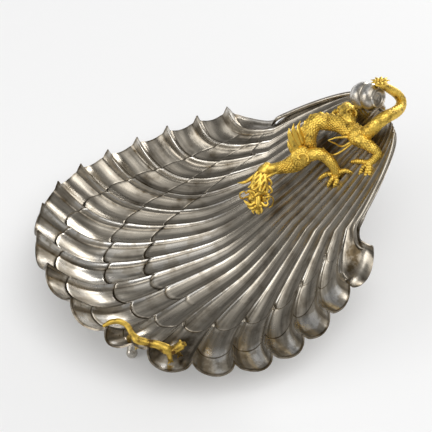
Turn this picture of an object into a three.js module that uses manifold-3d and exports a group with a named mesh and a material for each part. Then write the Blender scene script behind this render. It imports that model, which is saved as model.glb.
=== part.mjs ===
import * as THREE from 'three';
import { mergeVertices } from 'three/addons/utils/BufferGeometryUtils.js';
import Module from 'manifold-3d';

const wasm = await Module();
wasm.setup();

// Main sizes in millimetres; every ratio below is a share of rimRadius
const rimRadius = 130;           // plan circle through the rib ends
const sheet = 1.4;               // silver sheet
const clearance = 0.3;           // gap left between neighbouring pieces
const studRadius = 1.5;          // fixing studs under the castings
const studLength = 9;
const nutWidth = 8.4;
const nutHeight = 6;
const whiskerRadius = 0.75;
const tableDepth = 0.40;         // table below the mean rim

// Shell layout
const ribs = 9;                  // ribs on each side of the middle one
const borderRib = ribs + 1;      // line of the neck border
const apex = 1.15;               // point that the ribs aim at
const neckRadius = 0.65;         // distance from the apex where the neck starts
const wingCorner = new THREE.Vector3(0.817, 0.652, 0.097);
const neckEnd = { x: 1.19, z: 0.56, halfWidth: 0.20, drop: 0.06 };
const floorDepth = 0.30;
const neckSlope = 0.78;
const bendPlace = 0.18;          // where the floor turns up into the neck
const bendSoftness = 0.15;
const crossCurve = 0.08;         // sideways dish of the floor
const tierStep = 0.012;          // height of each overlapped growth step
const tierSplit = 0.004;
const lobeSpread = 0.36;         // outward share of the rim lobes
const nearDrop = 0.86;           // the near lobes hang a little less
const nearLean = 0.05;           // and fan out along the rim
const wingFlute = 1.1;           // the wings hang a little more than the lobes
const wingSpread = 0.5;          // and further outward
const heavyLobe = -2.5;          // the lobe that hangs towards one side, by its middle
const fluteStops = [0, 0.14, 0.36, 0.64, 0.86];

const deg = Math.PI / 180;
const mix = (a, b, t) => a + (b - a) * t;
const limit = (v, lo, hi) => Math.min(hi, Math.max(lo, v));
const point = (x, y, z) => new THREE.Vector3(x, y, z);

const innerAngle = (k) => (4.6 * k + 0.092 * k * k) * deg;
const outerAngle = (k) => (8.135 * k - 0.235 * k * k) * deg;

function keelHeight(x) {
  const run = x - bendPlace;
  return -floorDepth + (neckSlope / 2) * (run + Math.hypot(run, bendSoftness));
}

function floorHeight(x, y) {
  return keelHeight(x) + crossCurve * y * y * limit((0.7 - x) / 0.5, 0, 1);
}

function rimHeight(angle) {
  return 0.107 + 0.171 * Math.cos(angle) + 0.188 * Math.cos(2 * angle) + 0.019 * Math.cos(3 * angle);
}

function rimPoint(k) {
  if (k > ribs) {
    return rimPoint(ribs).lerp(wingCorner, k - ribs);
  }
  const turn = outerAngle(k);
  const reach = apex * Math.cos(turn) + Math.sqrt(1 - (apex * Math.sin(turn)) ** 2);
  const x = apex - reach * Math.cos(turn);
  const y = reach * Math.sin(turn);
  return point(x, y, rimHeight(Math.atan2(y, x)));
}

// Smooth surface outside the neck, at a distance from the apex along rib line k
function bowlPoint(k, radius) {
  const rim = rimPoint(k);
  const rimReach = Math.hypot(apex - rim.x, rim.y);
  const share = radius / rimReach;
  const flare = ((radius - neckRadius) / (rimReach - neckRadius)) ** 3;
  const turn = mix(innerAngle(k), Math.atan2(rim.y, apex - rim.x), flare);
  const x = apex - radius * Math.cos(turn);
  const y = radius * Math.sin(turn);
  const rise = rim.z - floorHeight(rim.x, rim.y);
  const turnUp = (2 * rise) / (1 + Math.exp((rimReach - radius) / (0.135 - 0.009 * k)));
  const lip = 0.025 * (k / borderRib) ** 6 * Math.exp((neckRadius - radius) / 0.06);
  return { place: point(x, y, floorHeight(x, y) + turnUp + lip), share };
}

// Smooth surface of the neck, from its end (along 0) to the bowl (along 1)
function neckPoint(k, along) {
  const side = k / borderRib;
  const end = point(
    neckEnd.x,
    neckEnd.halfWidth * side,
    neckEnd.z - neckEnd.drop * side * side,
  );
  const middle = point(1.15 - 0.003 * k, 0.036 * k, 0.43 + 0.0025 * k);
  return new THREE.QuadraticBezierCurve3(end, middle, bowlPoint(k, neckRadius).place).getPoint(along);
}

const flute = (k) => Math.abs(Math.sin(Math.PI * k)) ** 0.6;

function lobe(rib) {
  const across = heavyLobe + 0.5 - rib;
  if (across < 0 || across > 1) {
    return flute(Math.abs(rib));
  }
  return Math.sin(Math.PI * across ** 0.55) ** mix(0.6, 1.1, across);
}

// Growth steps: four tiers between the neck and the rim, each ending in a row of rounded tiles
function tierRadius(k, tier, t, smooth) {
  const rim = rimPoint(k);
  const rimReach = Math.hypot(apex - rim.x, rim.y);
  const room = rimReach - neckRadius;
  const bulge = smooth ? 0 : 0.05 * flute(k) * Math.min(1, room / 0.4);
  const ends = [
    neckRadius,
    rimReach - Math.min(0.67, 0.90 * room) + bulge,
    rimReach - Math.min(0.42, 0.75 * room) + bulge,
    rimReach - Math.min(0.13 + 0.012 * k, 0.5 * room) + bulge,
    rimReach,
  ];
  const from = ends[tier] + (tier > 0 ? tierSplit : 0);
  const to = ends[tier + 1] - (tier < 3 ? tierSplit : 0);
  return mix(from, to, t);
}

function smoothPoint(k, row, nudge) {
  if (row.tier < 0) {
    return neckPoint(k, limit(row.t + nudge, 0, 1));
  }
  return bowlPoint(k, tierRadius(k, row.tier, row.t, true) + nudge).place;
}

function surfaceNormal(k, row) {
  const e = 0.02;
  const lo = Math.max(0, k - e);
  const hi = Math.min(borderRib, k + e);
  const across = smoothPoint(hi, row, 0).sub(smoothPoint(lo, row, 0));
  const along = smoothPoint(k, row, e).sub(smoothPoint(k, row, -e));
  const normal = across.cross(along).normalize();
  if (k < e) {
    normal.y = 0;
  }
  return normal.z < 0 ? normal.negate().normalize() : normal.normalize();
}

// Direction of the sheet's thickness: square to the slope on the neck, square to the bowl further out
const neckTilt = Math.atan(neckSlope);
function sheetDirection(k, row) {
  const neckNormal = point(-Math.sin(neckTilt), 0, Math.cos(neckTilt));
  if (row.tier < 0) {
    return neckNormal;
  }
  const rim = rimPoint(k);
  const room = Math.hypot(apex - rim.x, rim.y) - neckRadius;
  const out = (tierRadius(k, row.tier, row.t, true) - neckRadius) / Math.min(0.3, room);
  return neckNormal.lerp(surfaceNormal(k, row), limit(out, 0, 1)).normalize();
}

// A point of the fluted sheet; rib runs from -borderRib to borderRib, lift is measured along the normal
function shellPoint(rib, row, lift) {
  const k = Math.abs(rib);
  let place;
  if (row.tier < 0) {
    place = neckPoint(k, row.t);
    place.z -= flute(k) * mix(0.004, 0.016, row.t);
  } else {
    const spot = bowlPoint(k, tierRadius(k, row.tier, row.t, false));
    const wave = mix(flute(k), lobe(rib), spot.share ** 4);
    const deep = 0.008 + 0.022 * spot.share + 0.070 * spot.share ** 12;
    const near = rib < 0 && k < ribs;
    const depth = wave * deep * (k > ribs ? wingFlute : near ? nearDrop : 1);
    const spread = depth * (k > ribs ? wingSpread : lobeSpread) * spot.share ** 12;
    const outward = Math.atan2(spot.place.y, spot.place.x);
    place = spot.place;
    const lean = near ? nearLean * wave * spot.share ** 12 * limit((k - 3.9) / 1.6, -1, 1) : 0;
    place.x += spread * Math.cos(outward) + lean * Math.sin(outward);
    place.y += spread * Math.sin(outward) - lean * Math.cos(outward);
    place.z -= depth;
    if (row.tier < 3) {
      place.z += tierStep * row.t ** 2;
    }
  }
  place.multiplyScalar(rimRadius).addScaledVector(sheetDirection(k, row), lift);
  if (rib < 0) {
    place.y = -place.y;
  }
  return place;
}

const rows = [];
for (const t of [0, 0.35, 0.7]) {
  rows.push({ tier: -1, t });
}
for (const t of [0, 0.5, 1]) {
  rows.push({ tier: 0, t });
}
for (const t of [0, 1]) {
  rows.push({ tier: 1, t });
}
for (const t of [0, 0.5, 1]) {
  rows.push({ tier: 2, t });
}
for (const t of [0, 0.4, 0.75, 1]) {
  rows.push({ tier: 3, t });
}

const columnRibs = [];
for (let rib = -borderRib; rib < borderRib; rib += 1) {
  for (const stop of fluteStops) {
    columnRibs.push(rib + stop);
  }
}
columnRibs.push(borderRib);

// Solid between two offsets of the fluted surface
function shellSlab(low, high) {
  const positions = [];
  const index = [];
  const columns = columnRibs.length - 1;
  const width = columns + 1;
  const layer = width * rows.length;
  for (const lift of [high, low]) {
    for (const row of rows) {
      for (const rib of columnRibs) {
        positions.push(...shellPoint(rib, row, lift).toArray());
      }
    }
  }
  const quad = (a, b, c, d) => index.push(a, b, c, a, c, d);
  for (let r = 0; r < rows.length - 1; r += 1) {
    for (let c = 0; c < columns; c += 1) {
      const a = r * width + c;
      quad(a, a + 1, a + 1 + width, a + width);
      quad(a + layer, a + width + layer, a + 1 + width + layer, a + 1 + layer);
    }
    const left = r * width;
    const right = left + columns;
    quad(left, left + width, left + width + layer, left + layer);
    quad(right, right + layer, right + width + layer, right + width);
  }
  const last = (rows.length - 1) * width;
  for (let c = 0; c < columns; c += 1) {
    quad(c, c + layer, c + 1 + layer, c + 1);
    quad(last + c, last + c + 1, last + c + 1 + layer, last + c + layer);
  }
  return shapeFrom(positions, index);
}

function shapeFrom(positions, index) {
  const shape = new THREE.BufferGeometry();
  shape.setAttribute('position', new THREE.Float32BufferAttribute(positions, 3));
  shape.setIndex(index);
  return shape;
}

function toSolid(geometry) {
  const bare = geometry.clone();
  bare.deleteAttribute('normal');
  bare.deleteAttribute('uv');
  const merged = mergeVertices(bare, 1e-4);
  return new wasm.Manifold(new wasm.Mesh({
    numProp: 3,
    vertProperties: new Float32Array(merged.attributes.position.array),
    triVerts: new Uint32Array(merged.index.array),
  }));
}

function fromSolid(solid) {
  const mesh = solid.getMesh();
  return shapeFrom(Array.from(mesh.vertProperties), Array.from(mesh.triVerts));
}

function join(...geometries) {
  return geometries.map(toSolid).reduce((whole, next) => whole.add(next));
}

// Round bar of changing radius along a curve, with flat ends
function bar(curve, radiusAt, rings, sides, from = 0, to = 1) {
  const positions = [];
  const index = [];
  const frames = curve.computeFrenetFrames(120, false);
  for (let r = 0; r <= rings; r += 1) {
    const u = mix(from, to, r / rings);
    const f = Math.round(u * 120);
    const centre = curve.getPointAt(u);
    for (let s = 0; s < sides; s += 1) {
      const a = (s / sides) * 2 * Math.PI;
      const spoke = frames.normals[f].clone().multiplyScalar(Math.cos(a));
      spoke.addScaledVector(frames.binormals[f], Math.sin(a));
      positions.push(...centre.clone().addScaledVector(spoke, radiusAt(u)).toArray());
    }
  }
  const first = positions.length / 3;
  positions.push(...curve.getPointAt(from).toArray(), ...curve.getPointAt(to).toArray());
  for (let r = 0; r < rings; r += 1) {
    for (let s = 0; s < sides; s += 1) {
      const a = r * sides + s;
      const b = r * sides + ((s + 1) % sides);
      index.push(a, b, b + sides, a, b + sides, a + sides);
    }
  }
  for (let s = 0; s < sides; s += 1) {
    const n = (s + 1) % sides;
    index.push(first, n, s);
    index.push(first + 1, rings * sides + s, rings * sides + n);
  }
  return shapeFrom(positions, index);
}

// Stops are [x, y, z, radius] in shares of rimRadius
function path(stops) {
  const curve = new THREE.CatmullRomCurve3(
    stops.map(([x, y, z]) => point(x, y, z).multiplyScalar(rimRadius)),
  );
  curve.arcLengthDivisions = 400;
  const lengths = stops.map((stop, i) => {
    const share = i / (stops.length - 1);
    const count = curve.getLengths();
    return count[Math.round(share * 400)] / count[400];
  });
  const radiusAt = (u) => {
    let i = 1;
    while (i < stops.length - 1 && lengths[i] < u) {
      i += 1;
    }
    const t = limit((u - lengths[i - 1]) / (lengths[i] - lengths[i - 1]), 0, 1);
    return mix(stops[i - 1][3], stops[i][3], t) * rimRadius;
  };
  return { curve, radiusAt, lengths };
}

function limb(stops, rings, sides, extra = 0) {
  const { curve, radiusAt } = path(stops);
  return bar(curve, (u) => radiusAt(u) + extra, rings, sides);
}

const silver = () => new THREE.MeshStandardMaterial({ color: 0x9c968c, roughness: 0.22, metalness: 1 });
const gilt = () => new THREE.MeshStandardMaterial({ color: 0xc9a23a, roughness: 0.42, metalness: 1 });
const dish = new THREE.Group();

function addPiece(name, shape, material) {
  const geometry = shape.isBufferGeometry ? shape : fromSolid(shape);
  const flat = geometry.index ? geometry.toNonIndexed() : geometry;
  flat.computeVertexNormals();
  const mesh = new THREE.Mesh(flat, material());
  mesh.name = name;
  dish.add(mesh);
}

// Spaces that the fittings above and below the sheet must keep out of
const keepAbove = toSolid(shellSlab(-4, clearance));
const keepEdge = toSolid(shellSlab(-sheet - clearance, 2 * clearance));
const keepBelow = toSolid(shellSlab(-sheet - clearance, 6));

// Umbo: the beak that curls over the neck, with a sunk volute on each side
const curl = { radius: 0.088, halfWidth: 0.085, eye: 0.050, sink: 0.018 };
const curlPlace = point(1.095, 0.013, 0.661).multiplyScalar(rimRadius);
const curlAxis = point(0.38, -0.84, 0.38).normalize();
const rootReach = 0.125;
const rootHalf = 0.064;
const rootDepth = 0.050;
function beakShape(extra, rootLonger = extra) {
  const { radius, halfWidth, eye, sink } = curl;
  const half = [
    [0, halfWidth - sink],
    [eye * 0.6, halfWidth - sink * 0.9],
    [eye, halfWidth],
    [mix(eye, radius, 0.45), halfWidth * 0.90],
    [mix(eye, radius, 0.85), halfWidth * 0.55],
    [radius, 0],
  ];
  const rim = [...half, ...half.slice(0, -1).reverse().map(([out, y]) => [out, -y])];
  const profile = rim.reverse().map(([out, y]) => {
    const grown = out > eye ? extra : 0;
    return new THREE.Vector2(out * rimRadius + grown, y * rimRadius + Math.sign(y) * extra);
  });
  const drum = new THREE.LatheGeometry(profile, 26);
  drum.applyQuaternion(new THREE.Quaternion().setFromUnitVectors(point(0, 1, 0), curlAxis));
  drum.translate(...curlPlace.toArray());
  const root = new THREE.BoxGeometry(
    rootReach * rimRadius + 2 * rootLonger,
    2 * (rootHalf * rimRadius + extra),
    rootDepth * rimRadius + 2 * extra,
  );
  root.rotateY(50 * deg);
  root.translate(curlPlace.x + 0.051 * rimRadius, 0, curlPlace.z - 0.048 * rimRadius);
  return join(drum, root);
}

// Neck borders: a half-round edging soldered along each side of the neck, out to the wing corners
const borderRadius = 0.012;
const borderRows = [
  { tier: -1, t: 0.06, inset: 0.76 },
  { tier: -1, t: 0.28, inset: 0.64 },
  { tier: -1, t: 0.50, inset: 0.52 },
  { tier: -1, t: 0.72, inset: 0.39 },
  { tier: -1, t: 0.94, inset: 0.27 },
  { tier: 2, t: 0.50, inset: 0.27 },
  { tier: 3, t: 0.70, inset: 0.24 },
];
function borderShape(side) {
  const lift = borderRadius * rimRadius + clearance;
  const stops = borderRows.map((row) => {
    const place = shellPoint(side * (borderRib - row.inset), row, lift).divideScalar(rimRadius);
    return [place.x, place.y, place.z, borderRadius];
  });
  return limb(stops, 18, 8);
}

// Dragon: one centre line from the nape to the tail tip, cut into neck and trunk, and tail
const spineStops = [
  [0.479, 0.130, 0.193, 0.030],
  [0.561, 0.100, 0.196, 0.036],
  [0.657, 0.050, 0.256, 0.056],
  [0.727, 0.060, 0.330, 0.056],
  [0.748, 0.095, 0.408, 0.053],
  [0.817, 0.130, 0.455, 0.052],
  [0.886, 0.110, 0.446, 0.051],
  [0.941, 0.050, 0.455, 0.050],
  [0.983, -0.040, 0.456, 0.054],
  [1.017, -0.098, 0.470, 0.047],
  [1.052, -0.138, 0.530, 0.041],
  [1.097, -0.160, 0.601, 0.039],
  [1.160, -0.150, 0.642, 0.037],
  [1.230, -0.110, 0.614, 0.034],
  [1.294, -0.055, 0.580, 0.031],
  [1.297, -0.022, 0.608, 0.029],
  [1.239, -0.020, 0.672, 0.027],
  [1.172, -0.020, 0.743, 0.021],
];
const spine = path(spineStops);
const spineLength = spine.curve.getLength();
const tailStart = spine.lengths[9] + 0.02;
const spineGap = clearance / spineLength;
const spineFat = (u) => spine.radiusAt(u) + 3 * clearance;
const trunkFat = toSolid(bar(spine.curve, spineFat, 28, 10, 0, tailStart + spineGap));

const trunk = bar(spine.curve, spine.radiusAt, 28, 10, spineGap, tailStart);
const tail = bar(spine.curve, spine.radiusAt, 26, 9, tailStart + spineGap, 1);
const tailEnd = new THREE.IcosahedronGeometry(spineFat(1), 2);
tailEnd.translate(...spine.curve.getPointAt(1).toArray());
const tailFat = join(bar(spine.curve, spineFat, 26, 9, tailStart, 1), tailEnd);

// Flame crest standing on the front of the shoulder
const crest = [0, 1, 2].map((i) => limb([
  [0.655, 0.040 + 0.02 * i, 0.300 + 0.02 * i, 0.016],
  [0.622 - 0.006 * i, 0.038 + 0.025 * i, 0.375, 0.018],
  [0.618 + 0.012 * i, 0.050 + 0.03 * i, 0.455, 0.014],
  [0.640 + 0.020 * i, 0.080 + 0.03 * i, 0.520 - 0.01 * i, 0.005],
], 6, 6));

// Head: skull, snout, jaw, ears and horns in one casting
function headSolid(extra) {
  const skull = limb([
    [0.500, 0.135, 0.205, 0.030],
    [0.465, 0.125, 0.180, 0.044],
    [0.430, 0.100, 0.125, 0.056],
    [0.395, 0.070, 0.075, 0.046],
    [0.365, 0.040, 0.035, 0.042],
    [0.345, 0.022, 0.008, 0.026],
  ], 12, 10, extra);
  const jaw = limb([
    [0.430, 0.070, 0.075, 0.026],
    [0.404, 0.026, 0.022, 0.022],
    [0.388, 0.000, -0.014, 0.013],
    [0.376, -0.016, -0.038, 0.006],
  ], 6, 7, extra);
  const spikes = [];
  for (const side of [-1, 1]) {
    spikes.push(limb([
      [0.445, 0.100 + 0.022 * side, 0.160, 0.016],
      [0.480 - 0.02 * side, 0.085 + 0.05 * side, 0.235, 0.012],
      [0.530 - 0.02 * side, 0.075 + 0.07 * side, 0.262, 0.005],
    ], 5, 5, extra));
    spikes.push(limb([
      [0.415, 0.085 + 0.028 * side, 0.130, 0.018],
      [0.370 + 0.02 * (1 - side), 0.085 + 0.06 * side, 0.150, 0.014],
      [0.310 + 0.09 * (1 - side), 0.070 + 0.07 * side, 0.158, 0.004],
    ], 5, 5, extra));
  }
  return join(skull, jaw, ...spikes);
}
const headFat = headSolid(clearance);

function whisker(stops) {
  return toSolid(limb(stops.map((stop) => [...stop, whiskerRadius / rimRadius]), 16, 5)).subtract(headFat);
}
const whiskerLeft = whisker([
  [0.352, 0.060, 0.045],
  [0.330, 0.075, 0.060],
  [0.305, 0.070, 0.062],
  [0.283, 0.068, 0.082],
  [0.284, 0.068, 0.118],
  [0.310, 0.068, 0.122],
  [0.322, 0.068, 0.098],
]);
const whiskerRight = whisker([
  [0.402, 0.040, 0.070],
  [0.422, 0.004, 0.083],
  [0.455, -0.005, 0.085],
  [0.478, 0.000, 0.045],
  [0.474, 0.004, -0.005],
  [0.455, 0.002, -0.018],
]);

// Legs: a thick upper limb, a paw and four clawed toes, with a threaded stud cast under the paw
function legSolid(bone, toes) {
  const pieces = [limb(bone, 9, 8)];
  for (const toe of toes) {
    pieces.push(limb(toe, 4, 5));
  }
  return join(...pieces);
}

const toe = (from, middle, tip) => [[...from, 0.015], [...middle, 0.014], [...tip, 0.004]];

const foreRight = { paw: [0.836, -0.130, 0.248] };
foreRight.solid = legSolid([
  [0.672, 0.020, 0.325, 0.040],
  [0.710, -0.020, 0.352, 0.038],
  [0.755, -0.035, 0.358, 0.032],
  [0.807, -0.085, 0.322, 0.027],
  [0.833, -0.125, 0.268, 0.025],
  [0.838, -0.135, 0.236, 0.024],
], [
  toe(foreRight.paw, [0.878, -0.165, 0.278], [0.912, -0.190, 0.276]),
  toe(foreRight.paw, [0.800, -0.148, 0.218], [0.767, -0.150, 0.170]),
  toe(foreRight.paw, [0.820, -0.175, 0.222], [0.790, -0.185, 0.186]),
  toe(foreRight.paw, [0.792, -0.090, 0.216], [0.749, -0.055, 0.160]),
]);

const foreLeft = { paw: [0.800, 0.245, 0.212] };
foreLeft.solid = legSolid([
  [0.700, 0.110, 0.345, 0.040],
  [0.720, 0.165, 0.350, 0.036],
  [0.750, 0.205, 0.330, 0.030],
  [0.785, 0.235, 0.285, 0.026],
  [0.798, 0.245, 0.235, 0.024],
  [0.800, 0.245, 0.205, 0.024],
], [
  toe(foreLeft.paw, [0.845, 0.255, 0.240], [0.880, 0.270, 0.250]),
  toe(foreLeft.paw, [0.765, 0.262, 0.190], [0.730, 0.275, 0.140]),
  toe(foreLeft.paw, [0.780, 0.285, 0.196], [0.760, 0.315, 0.163]),
  toe(foreLeft.paw, [0.775, 0.215, 0.198], [0.745, 0.190, 0.150]),
]);

const hindRight = { paw: [1.000, -0.238, 0.362] };
hindRight.solid = legSolid([
  [0.985, -0.075, 0.462, 0.050],
  [0.985, -0.130, 0.466, 0.046],
  [1.020, -0.185, 0.448, 0.034],
  [1.052, -0.232, 0.415, 0.024],
  [1.030, -0.240, 0.385, 0.022],
  [0.995, -0.238, 0.358, 0.022],
], [
  toe(hindRight.paw, [0.960, -0.175, 0.335], [0.924, -0.122, 0.297]),
  toe(hindRight.paw, [0.975, -0.265, 0.338], [0.945, -0.285, 0.300]),
  toe(hindRight.paw, [0.985, -0.275, 0.345], [0.965, -0.305, 0.318]),
  toe(hindRight.paw, [0.962, -0.235, 0.330], [0.925, -0.245, 0.290]),
]);

const hindLeft = { paw: [1.050, 0.215, 0.398] };
hindLeft.solid = legSolid([
  [0.990, 0.020, 0.474, 0.043],
  [1.000, 0.070, 0.482, 0.046],
  [1.025, 0.130, 0.478, 0.044],
  [1.050, 0.170, 0.462, 0.034],
  [1.055, 0.200, 0.425, 0.026],
  [1.050, 0.215, 0.388, 0.024],
], [
  toe(hindLeft.paw, [1.082, 0.187, 0.430], [1.106, 0.158, 0.445]),
  toe(hindLeft.paw, [1.025, 0.245, 0.378], [1.000, 0.265, 0.345]),
  toe(hindLeft.paw, [1.055, 0.248, 0.395], [1.050, 0.275, 0.375]),
  toe(hindLeft.paw, [1.015, 0.205, 0.372], [0.985, 0.200, 0.328]),
]);

// Stud, its hole in the sheet and the nut under it share one axis, square to the neck
function uprightPiece(geometry, paw, drop) {
  geometry.rotateX(Math.PI / 2);
  geometry.translate(0, 0, -drop);
  geometry.rotateY(-neckTilt);
  geometry.translate(...paw.map((v) => v * rimRadius));
  return toSolid(geometry);
}
const studTop = 2;
function stud(paw, extra) {
  const shape = new THREE.CylinderGeometry(studRadius + extra, studRadius + extra, studLength + studTop, 10);
  return uprightPiece(shape, paw, (studLength - studTop) / 2);
}
function nut(paw) {
  const body = new THREE.CylinderGeometry(nutWidth / 2, nutWidth / 2, nutHeight, 6);
  const raised = uprightPiece(body, paw, studLength - nutHeight / 2 - 0.5);
  return raised.subtract(stud(paw, clearance)).subtract(keepBelow);
}

// Rim lizard, lying over two rib ends
const lizardTrunk = limb([
  [-0.860, -0.535, 0.055, 0.010],
  [-0.815, -0.533, 0.062, 0.015],
  [-0.771, -0.545, 0.060, 0.016],
  [-0.738, -0.585, 0.050, 0.016],
  [-0.730, -0.640, 0.035, 0.017],
  [-0.718, -0.685, 0.025, 0.019],
  [-0.666, -0.724, 0.012, 0.022],
  [-0.617, -0.752, 0.000, 0.024],
  [-0.582, -0.787, -0.015, 0.027],
  [-0.560, -0.806, -0.025, 0.022],
  [-0.527, -0.803, -0.020, 0.024],
  [-0.496, -0.802, -0.010, 0.027],
  [-0.474, -0.803, -0.005, 0.015],
], 30, 8);
const lizardLeg = (hip, knee, tip) => limb([[...hip, 0.013], [...knee, 0.011], [...tip, 0.009]], 5, 5);
const lizardLegs = [
  lizardLeg([-0.722, -0.675, 0.025], [-0.715, -0.662, -0.050], [-0.684, -0.590, -0.160]),
  lizardLeg([-0.728, -0.645, 0.030], [-0.738, -0.606, -0.040], [-0.716, -0.555, -0.155]),
  lizardLeg([-0.572, -0.795, -0.025], [-0.566, -0.806, -0.090], [-0.552, -0.772, -0.165]),
  lizardLeg([-0.550, -0.785, -0.030], [-0.508, -0.768, -0.100], [-0.470, -0.720, -0.205]),
];
const lizard = join(lizardTrunk, ...lizardLegs).subtract(keepAbove).subtract(keepEdge);

// Feet: turned-in cabriole legs with a flat pad, a short pair in front and a tall pair under the neck
const padRadius = 0.034;
function foot(x, y, top, side) {
  const out = 0.04;
  const shape = limb([
    [x - out, side * (y + out), -tableDepth, padRadius],
    [x - out, side * (y + out), -tableDepth + 0.012, padRadius + 0.001],
    [x - out * 0.9, side * (y + out * 0.8), -tableDepth + 0.03, 0.030],
    [x - out * 0.4, side * (y + out * 0.3), mix(-tableDepth, top, 0.55), 0.028],
    [x, side * y, mix(-tableDepth, top, 0.85), 0.044],
    [x, side * y, top + 0.03, 0.054],
  ], 10, 10);
  const floorWidth = 4 * padRadius * rimRadius;
  const floorCut = new THREE.BoxGeometry(floorWidth, floorWidth, floorWidth);
  const below = -tableDepth * rimRadius - floorWidth / 2;
  floorCut.translate((x - out) * rimRadius, side * (y + out) * rimRadius, below);
  return toSolid(shape).subtract(keepBelow).subtract(toSolid(floorCut));
}

// Tail tuft: a knot of petals on the top of the umbo
const tuftPlace = point(1.151, -0.020, 0.779).multiplyScalar(rimRadius);
function tuftSolid() {
  const petals = [];
  const core = new THREE.IcosahedronGeometry(0.030 * rimRadius, 1);
  core.translate(...tuftPlace.toArray());
  petals.push(core);
  for (let i = 0; i < 8; i += 1) {
    const a = (i / 8) * 2 * Math.PI;
    const petal = new THREE.IcosahedronGeometry(0.018 * rimRadius, 0);
    const spread = 0.040 * rimRadius;
    petal.translate(spread * Math.cos(a), spread * Math.sin(a), 0.006 * rimRadius);
    petal.rotateX(-15 * deg);
    petal.translate(...tuftPlace.toArray());
    petals.push(petal);
  }
  return join(...petals);
}

const beakFat = beakShape(clearance);
const beakHollow = beakShape(-1.3 * sheet, 2 * sheet);
const beak = beakShape(0).subtract(beakHollow).subtract(keepAbove).subtract(tailFat);
const legs = {
  dragon_foreleg_right: foreRight,
  dragon_foreleg_left: foreLeft,
  dragon_hindleg_right: hindRight,
  dragon_hindleg_left: hindLeft,
};

let shell = toSolid(shellSlab(-sheet, 0));
for (const leg of Object.values(legs)) {
  shell = shell.subtract(stud(leg.paw, clearance));
}

addPiece('shell_dish', shell, silver);
addPiece('umbo_beak', beak, silver);
addPiece('neck_border_left', toSolid(borderShape(1)).subtract(keepEdge), silver);
addPiece('neck_border_right', toSolid(borderShape(-1)).subtract(keepEdge), silver);
addPiece('foot_front_left', foot(-0.626, 0.405, -0.26, 1), silver);
addPiece('foot_front_right', foot(-0.626, 0.405, -0.26, -1), silver);
addPiece('foot_rear_left', foot(0.46, 0.40, -0.12, 1), silver);
addPiece('foot_rear_right', foot(0.46, 0.40, -0.12, -1), silver);
addPiece('dragon_trunk', join(trunk, ...crest), gilt);
addPiece('dragon_tail', tail, gilt);
addPiece('dragon_tail_tuft', tuftSolid().subtract(tailFat).subtract(beakFat), gilt);
addPiece('dragon_head', headSolid(0).subtract(trunkFat), gilt);
addPiece('dragon_whisker_left', whiskerLeft, gilt);
addPiece('dragon_whisker_right', whiskerRight, gilt);
for (const [name, leg] of Object.entries(legs)) {
  const casting = leg.solid.subtract(trunkFat).subtract(tailFat).subtract(keepAbove);
  addPiece(name, casting.add(stud(leg.paw, 0)), gilt);
  addPiece(name.replace('dragon', 'nut'), nut(leg.paw), silver);
}
addPiece('rim_lizard', lizard, gilt);

// Origin under the middle of the whole dish
dish.updateMatrixWorld(true);
const box = new THREE.Box3().setFromObject(dish);
const whole = new THREE.Group();
dish.position.set(-(box.min.x + box.max.x) / 2, -(box.min.y + box.max.y) / 2, -box.min.z);
whole.add(dish);

export default whole;
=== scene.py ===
from math import atan2, cos, exp, hypot, pi, radians, sin, sqrt

import bmesh
import bpy
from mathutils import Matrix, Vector


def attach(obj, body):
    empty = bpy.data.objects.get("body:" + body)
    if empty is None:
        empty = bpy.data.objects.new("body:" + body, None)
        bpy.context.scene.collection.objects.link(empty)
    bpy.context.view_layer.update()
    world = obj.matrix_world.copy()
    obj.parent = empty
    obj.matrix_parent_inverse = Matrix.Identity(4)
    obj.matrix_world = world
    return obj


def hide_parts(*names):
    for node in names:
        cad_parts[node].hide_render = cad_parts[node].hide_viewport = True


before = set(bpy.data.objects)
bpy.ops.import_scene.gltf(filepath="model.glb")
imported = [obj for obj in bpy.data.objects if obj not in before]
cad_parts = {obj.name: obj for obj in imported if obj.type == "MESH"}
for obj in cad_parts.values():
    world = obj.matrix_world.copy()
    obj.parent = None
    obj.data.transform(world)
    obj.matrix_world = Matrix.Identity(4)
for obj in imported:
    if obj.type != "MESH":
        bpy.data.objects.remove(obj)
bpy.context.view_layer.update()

rimRadius = 0.130  # metres, plan circle through the rib ends
middle = Vector((-0.018974, -0.000291, 0.052))  # centre of that circle in the CAD frame


def inFrame(x, y, z):
    return Vector((x, y, z)) * rimRadius + middle


def mix(a, b, t):
    return a + (b - a) * t


def limit(value, low=0.0, high=1.0):
    return min(high, max(low, value))


def ease(low, high, value):
    t = limit((value - low) / (high - low))
    return t * t * (3 - 2 * t)


def bell(value, wide):
    return exp(-((value / wide) ** 2))


# helpers that start, shape and finish a piece
def pick(*pieces):
    bpy.ops.object.select_all(action="DESELECT")
    for piece in pieces:
        piece.select_set(True)
    bpy.context.view_layer.objects.active = pieces[0]


def startGrid(columns, rows):
    bpy.ops.mesh.primitive_grid_add(x_subdivisions=columns, y_subdivisions=rows, size=1)
    return bpy.context.object


def editMesh(piece, *steps):
    bpy.context.view_layer.objects.active = piece
    bpy.ops.object.mode_set(mode="EDIT")
    bpy.ops.mesh.select_all(action="SELECT")
    for step in steps:
        step()
    bpy.ops.object.mode_set(mode="OBJECT")


def sealMesh(piece, distance=2e-6):
    mesh = bpy.ops.mesh
    editMesh(piece, lambda: mesh.remove_doubles(threshold=distance), mesh.normals_make_consistent)


def useModifier(piece, kind, **values):
    pick(piece)
    modifier = piece.modifiers.new(kind.title(), kind)
    for key, value in values.items():
        setattr(modifier, key, value)
    bpy.ops.object.modifier_apply(modifier=modifier.name)


def joinPieces(pieces):
    pick(*pieces)
    bpy.ops.object.join()
    return pieces[0]


# the attribute holds tarnish, and on the shell also painted shade
def setTarnishAndShade(piece, values):
    layer = piece.data.attributes.get("tarnishAndShade") or piece.data.attributes.new("tarnishAndShade", "FLOAT", "POINT")
    layer.data.foreach_set("value", values)


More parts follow.
